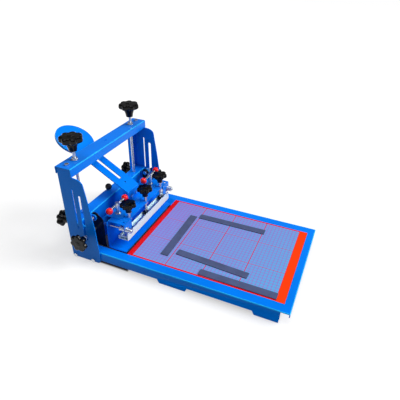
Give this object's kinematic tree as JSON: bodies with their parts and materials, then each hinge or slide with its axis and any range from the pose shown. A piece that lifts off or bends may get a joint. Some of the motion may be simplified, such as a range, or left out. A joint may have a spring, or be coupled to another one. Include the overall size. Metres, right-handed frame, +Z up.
{
  "type": "tabletop screen printing press",
  "caption": "Small bench screen printing press: folded base with gridded printing board, hinged head that clamps one screen, counterweight arm, and screws for height and side settings.",
  "frame": {"origin": "on the table, under the centre of the whole machine's outline", "axes": "+Y from the operator at the front to the head at the back, +Z up, +X to the operator's right"},
  "size_m": [0.444, 0.761, 0.356],
  "materials": {
    "blue_paint": "glossy blue powder coat on folded steel sheet",
    "black_paint": "satin black paint",
    "zinc_steel": "bright zinc plated steel",
    "clamp_aluminium": "plain anodised extrusion",
    "black_plastic": "glossy moulded black",
    "red_plastic": "glossy moulded red",
    "black_rubber": "smooth black rubber",
    "board_wood": "plain fibreboard",
    "mat_vinyl": "printed grid film",
    "slate_plastic": "matt slate grey"
  },
  "bodies": {
    "base": {"base_frame": "blue_paint", "board_supports": "blue_paint", "platen_board": "board_wood", "board_screws": "zinc_steel", "grid_mat": "mat_vinyl", "registration_strips": "slate_plastic", "left_upright": "blue_paint", "right_upright": "blue_paint", "upright_bolts": "zinc_steel", "upright_nuts": "zinc_steel", "top_bar": "blue_paint", "bar_bolts": "zinc_steel", "bar_nuts": "zinc_steel"},
    "carriage": {"cross_member": "blue_paint", "end_plates": "blue_paint", "side_bosses": "zinc_steel", "hinge_lugs": "blue_paint", "carriage_nuts": "zinc_steel", "bumper_ball": "black_rubber", "bumper_stem": "zinc_steel"},
    "left_height": {"left_height_screw": "zinc_steel", "left_height_knob": "black_plastic"},
    "left_lock": {"left_lock_stud": "zinc_steel", "left_lock_knob": "black_plastic"},
    "left_side": {"left_side_screw": "zinc_steel", "left_side_knob": "black_plastic"},
    "right_height": {"right_height_screw": "zinc_steel", "right_height_knob": "black_plastic"},
    "right_lock": {"right_lock_stud": "zinc_steel", "right_lock_knob": "black_plastic"},
    "right_side": {"right_side_screw": "zinc_steel", "right_side_knob": "black_plastic"},
    "side_shift": {"hinge_pins": "zinc_steel"},
    "head": {"swing_frame": "blue_paint", "head_cheeks": "black_paint", "slotted_arm": "blue_paint", "arm_bolts": "zinc_steel", "fore_aft_studs": "zinc_steel", "stud_nuts": "zinc_steel"},
    "counterweight": {"weight_disc": "blue_paint", "weight_bolt": "zinc_steel", "weight_nut": "zinc_steel"},
    "bracket": {"screen_bracket": "blue_paint", "bracket_nuts": "zinc_steel"},
    "left_handle_turn": {"left_handle": "zinc_steel", "left_grips": "red_plastic"},
    "left_thumb": {"left_thumb_nuts": "zinc_steel"},
    "right_handle_turn": {"right_handle": "zinc_steel", "right_grips": "red_plastic"},
    "right_thumb": {"right_thumb_nuts": "zinc_steel"},
    "clamp": {"clamp_bar": "clamp_aluminium", "bar_feet": "black_plastic"},
    "left_clamp_turn": {"left_clamp_screw": "zinc_steel", "left_clamp_knob": "black_plastic"},
    "middle_clamp_turn": {"middle_clamp_screw": "zinc_steel", "middle_clamp_knob": "black_plastic"},
    "right_clamp_turn": {"right_clamp_screw": "zinc_steel", "right_clamp_knob": "black_plastic"}
  },
  "joints": [
    {"name": "head_height", "type": "slide", "parent": "base", "child": "carriage", "axis": [0, 0, 1], "range_m": [0, 0.035]},
    {"name": "left_height_turn", "type": "hinge", "parent": "base", "child": "left_height", "pos_m": [-0.135, 0.22052, 0.34], "axis": [0, 0, -1], "range_deg": [0, 10080.1]},
    {"name": "right_height_turn", "type": "hinge", "parent": "base", "child": "right_height", "pos_m": [0.135, 0.22052, 0.34], "axis": [0, 0, -1], "range_deg": [0, 10080.1]},
    {"name": "left_lock_turn", "type": "hinge", "parent": "carriage", "child": "left_lock", "pos_m": [-0.164, 0.26152, 0.11], "axis": [0, 1, 0], "range_deg": [-180, 180]},
    {"name": "right_lock_turn", "type": "hinge", "parent": "carriage", "child": "right_lock", "pos_m": [0.164, 0.26152, 0.11], "axis": [0, 1, 0], "range_deg": [-180, 180]},
    {"name": "head_side", "type": "slide", "parent": "carriage", "child": "side_shift", "axis": [1, 0, 0], "range_m": [-0.005, 0.005]},
    {"name": "left_side_turn", "type": "hinge", "parent": "side_shift", "child": "left_side", "pos_m": [-0.2, 0.18352, 0.085], "axis": [1, 0, 0], "range_deg": [-1440.1, 1440.1]},
    {"name": "right_side_turn", "type": "hinge", "parent": "side_shift", "child": "right_side", "pos_m": [0.2, 0.18352, 0.085], "axis": [1, 0, 0], "range_deg": [-1440.1, 1440.1]},
    {"name": "head_swing", "type": "hinge", "parent": "side_shift", "child": "head", "pos_m": [0, 0.17852, 0.128], "axis": [-1, 0, 0], "range_deg": [0, 54]},
    {"name": "weight_slide", "type": "slide", "parent": "head", "child": "counterweight", "axis": [0, 0.866, 0.5], "range_m": [-0.13, 0]},
    {"name": "head_fore_aft", "type": "slide", "parent": "head", "child": "bracket", "axis": [0, 1, 0], "range_m": [-0.002, 0.008]},
    {"name": "left_thumb_turn", "type": "hinge", "parent": "bracket", "child": "left_thumb", "pos_m": [-0.124, 0.09752, 0.098], "axis": [0, 1, 0], "range_deg": [-720.1, 2880.1]},
    {"name": "right_thumb_turn", "type": "hinge", "parent": "bracket", "child": "right_thumb", "pos_m": [0.124, 0.09752, 0.098], "axis": [0, 1, 0], "range_deg": [-720.1, 2880.1]},
    {"name": "left_handle_swing", "type": "hinge", "parent": "bracket", "child": "left_handle_turn", "pos_m": [-0.092, 0.13602, 0.15], "axis": [0, 0, 1], "range_deg": [-35, 35]},
    {"name": "right_handle_swing", "type": "hinge", "parent": "bracket", "child": "right_handle_turn", "pos_m": [0.092, 0.13602, 0.15], "axis": [0, 0, 1], "range_deg": [-35, 35]},
    {"name": "clamp_height", "type": "slide", "parent": "bracket", "child": "clamp", "axis": [0, 0, 1], "range_m": [-0.004, 0.004]},
    {"name": "left_clamp_turning", "type": "hinge", "parent": "clamp", "child": "left_clamp_turn", "pos_m": [-0.092, 0.10052, 0.14], "axis": [0, 0, 1], "range_deg": [-1152.1, 1152.1]},
    {"name": "middle_clamp_turning", "type": "hinge", "parent": "clamp", "child": "middle_clamp_turn", "pos_m": [0, 0.10052, 0.14], "axis": [0, 0, 1], "range_deg": [-1152.1, 1152.1]},
    {"name": "right_clamp_turning", "type": "hinge", "parent": "clamp", "child": "right_clamp_turn", "pos_m": [0.092, 0.10052, 0.14], "axis": [0, 0, 1], "range_deg": [-1152.1, 1152.1]}
  ],
  "couplings": [
    {"joint": "left_height_turn", "follows": "head_height", "rad_per_m": 5026.5},
    {"joint": "right_height_turn", "follows": "head_height", "rad_per_m": 5026.5},
    {"joint": "left_side_turn", "follows": "head_side", "rad_per_m": 5026.5},
    {"joint": "right_side_turn", "follows": "head_side", "rad_per_m": 5026.5},
    {"joint": "left_thumb_turn", "follows": "head_fore_aft", "rad_per_m": 6283.2},
    {"joint": "right_thumb_turn", "follows": "head_fore_aft", "rad_per_m": 6283.2},
    {"joint": "left_clamp_turning", "follows": "clamp_height", "rad_per_m": 5026.5},
    {"joint": "middle_clamp_turning", "follows": "clamp_height", "rad_per_m": 5026.5},
    {"joint": "right_clamp_turning", "follows": "clamp_height", "rad_per_m": 5026.5}
  ]
}
